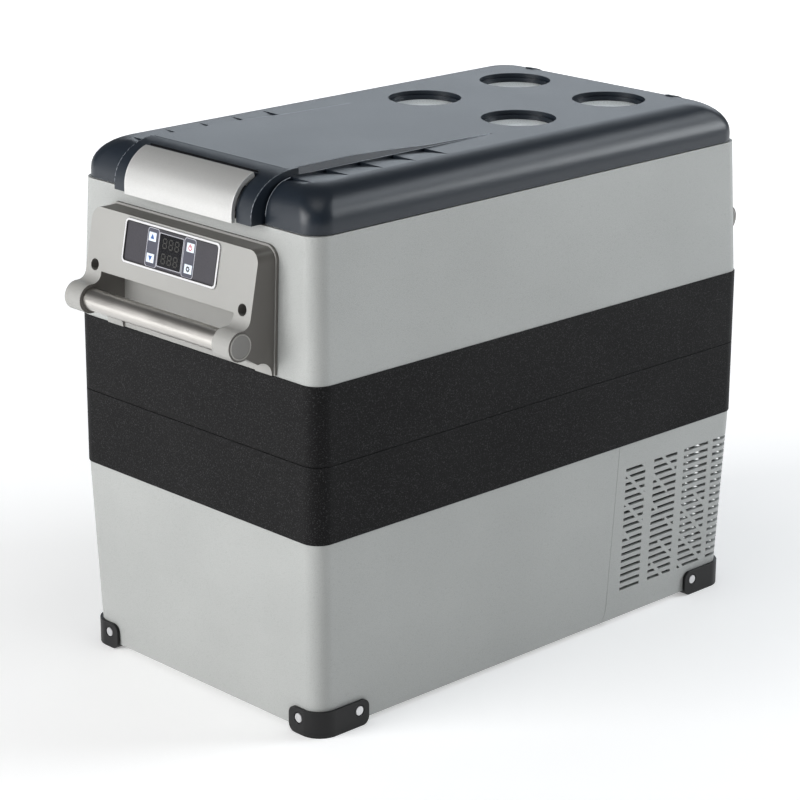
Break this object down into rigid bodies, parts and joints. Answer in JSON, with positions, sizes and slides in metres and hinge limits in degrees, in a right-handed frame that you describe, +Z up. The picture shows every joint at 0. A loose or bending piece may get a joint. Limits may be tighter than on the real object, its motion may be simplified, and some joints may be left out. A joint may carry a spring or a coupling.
{
  "type": "compressor cooler fridge",
  "caption": "Portable compressor cooler fridge: insulated two-tone cabinet, hinged lid with latch and cup recesses, end carry handles, key panel, vents and corner feet.",
  "frame": {"origin": "on the floor under the middle of the cabinet", "axes": "+Z up, -X towards the latch and key panel, +X towards the hinges and vents, Y across the width"},
  "size_m": [0.701, 0.345, 0.525],
  "materials": {
    "shell_grey": "satin",
    "band_black": "matte",
    "lid_slate": "satin",
    "foot_black": "satin",
    "bracket_silver": "satin",
    "grip_metal": "satin",
    "latch_silver": "satin",
    "bezel_silver": "polished",
    "overlay_dark": "satin",
    "window_dark": "gloss",
    "key_white": "satin",
    "liner_white": "satin",
    "foam": "matte",
    "aluminium_sheet": "satin",
    "copper": "satin",
    "steel": "satin",
    "compressor_black": "satin",
    "rubber_black": "matte",
    "board_green": "satin",
    "fan_black": "satin",
    "inlet_black": "satin",
    "hinge_black": "satin",
    "cup_pale": "gloss"
  },
  "bodies": {
    "root": {"lower_shell": "shell_grey", "vent_cover": "shell_grey", "base_plate": "steel", "lower_band": "band_black", "upper_band": "band_black", "upper_shell": "shell_grey", "inner_liner": "liner_white", "foam_insulation": "foam", "evaporator_plate": "aluminium_sheet", "evaporator_tube": "copper", "temperature_probe": "steel", "bulkhead": "steel", "compressor": "compressor_black", "compressor_grommets": "rubber_black", "compressor_bolts": "steel", "control_board": "board_green", "condenser_fins": "aluminium_sheet", "condenser_tube": "copper", "fan_frame": "fan_black", "fan_motor": "fan_black", "filter_drier": "copper", "refrigerant_lines": "copper", "inlet_plate": "inlet_black", "ac_inlet": "inlet_black", "dc_inlet": "inlet_black", "front_left_foot": "foot_black", "front_right_foot": "foot_black", "rear_left_foot": "foot_black", "rear_right_foot": "foot_black", "foot_screws": "steel", "front_handle_bracket": "bracket_silver", "rear_handle_bracket": "bracket_silver", "front_grip_bar": "grip_metal", "rear_grip_bar": "grip_metal", "grip_caps": "bracket_silver", "handle_screws": "steel", "display_bezel": "bezel_silver", "display_overlay": "overlay_dark", "display_window": "window_dark", "display_board": "board_green", "latch_keeper": "steel", "left_hinge_base": "hinge_black", "right_hinge_base": "hinge_black", "hinge_pins": "steel", "wire_basket": "steel"},
    "lid": {"lid_shell": "lid_slate", "lid_foam": "foam", "lid_liner": "liner_white", "lid_gasket": "rubber_black", "cup_pads": "cup_pale", "left_hinge_leaf": "hinge_black", "right_hinge_leaf": "hinge_black", "latch_pin": "steel"},
    "latch": {"latch_handle": "latch_silver", "latch_hook": "steel"},
    "key_up": {"key_up": "key_white"},
    "key_down": {"key_down": "key_white"},
    "key_power": {"key_power": "key_white"},
    "key_set": {"key_set": "key_white"},
    "fan": {"fan_rotor": "fan_black"}
  },
  "joints": [
    {"name": "lid_hinge", "type": "hinge", "parent": "root", "child": "lid", "pos_m": [0.2945, 0, 0.486], "axis": [0, 1, 0], "range_deg": [0, 90]},
    {"name": "latch_pivot", "type": "hinge", "parent": "lid", "child": "latch", "pos_m": [-0.283, 0, 0.5134], "axis": [0, 1, 0], "range_deg": [0, 30], "stiffness_Nm_per_rad": 0.15, "springref_deg": -11.46},
    {"name": "fan_spin", "type": "hinge", "parent": "root", "child": "fan", "pos_m": [0.194, 0.078, 0.104], "axis": [0, 1, 0], "continuous": true},
    {"name": "key_up_press", "type": "slide", "parent": "root", "child": "key_up", "axis": [0.9825, 0, -0.1863], "range_m": [0, 0.0006], "stiffness_N_per_m": 300},
    {"name": "key_down_press", "type": "slide", "parent": "root", "child": "key_down", "axis": [0.9825, 0, -0.1863], "range_m": [0, 0.0006], "stiffness_N_per_m": 300},
    {"name": "key_power_press", "type": "slide", "parent": "root", "child": "key_power", "axis": [0.9825, 0, -0.1863], "range_m": [0, 0.0006], "stiffness_N_per_m": 300},
    {"name": "key_set_press", "type": "slide", "parent": "root", "child": "key_set", "axis": [0.9825, 0, -0.1863], "range_m": [0, 0.0006], "stiffness_N_per_m": 300}
  ]
}
